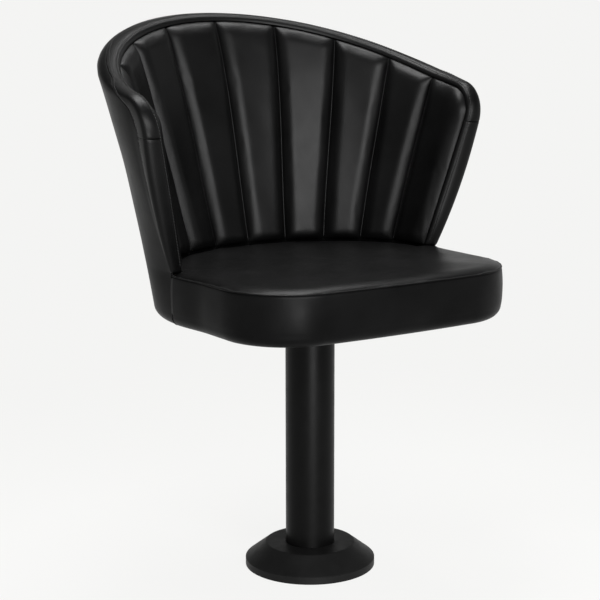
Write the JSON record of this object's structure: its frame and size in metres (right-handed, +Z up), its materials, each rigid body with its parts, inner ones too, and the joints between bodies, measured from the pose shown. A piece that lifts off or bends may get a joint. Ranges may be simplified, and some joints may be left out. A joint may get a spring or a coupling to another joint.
{
  "type": "pedestal swivel armchair",
  "caption": "Tub armchair with a fluted leather back and a crowned seat, turning on a floor-fixed steel column with a round base cover.",
  "frame": {"origin": "on the floor at the axis of the column, at the middle of the floor bolt circle", "axes": "+Z up along the column, +Y to the back of the chair, +X to the sitter's left, which is the right side seen from the front"},
  "size_m": [0.622, 0.5596, 0.8516],
  "materials": {
    "leather": "black, smooth fine grain, satin sheen",
    "powder_coat": "black satin powder coat",
    "plain_steel": "turned steel",
    "zinc_steel": "bright zinc plate",
    "bearing_nylon": "natural cast nylon",
    "bronze": "plain bearing bronze",
    "rubber": "matt black",
    "plywood": "sanded birch plywood",
    "foam": "upholstery foam",
    "lining_cloth": "black non-woven cloth"
  },
  "bodies": {
    "pedestal": {"floor_flange": "powder_coat", "column_tube": "powder_coat", "base_cover": "powder_coat", "cover_grip_ring": "rubber", "upper_bush": "bearing_nylon", "lower_bush": "bearing_nylon", "thrust_washer": "bronze"},
    "seat_unit": {"swivel_spindle": "plain_steel", "spindle_washer": "zinc_steel", "spindle_circlip": "plain_steel", "hub_collar": "powder_coat", "seat_plate": "powder_coat", "plate_washers": "zinc_steel", "plate_bolts": "zinc_steel", "tee_nuts": "zinc_steel", "seat_board": "plywood", "dust_cover": "lining_cloth", "seat_foam": "foam", "seat_top_panel": "leather", "seat_boxing": "leather", "shell_frame": "plywood", "shell_screws": "zinc_steel", "back_foam": "foam", "back_flutes": "leather", "outside_back": "leather", "rim_band": "leather", "arm_front_left": "leather", "arm_front_right": "leather"}
  },
  "joints": [
    {"name": "swivel", "type": "hinge", "parent": "pedestal", "child": "seat_unit", "pos_m": [0, 0, 0.3931], "axis": [0, 0, 1], "continuous": true}
  ]
}
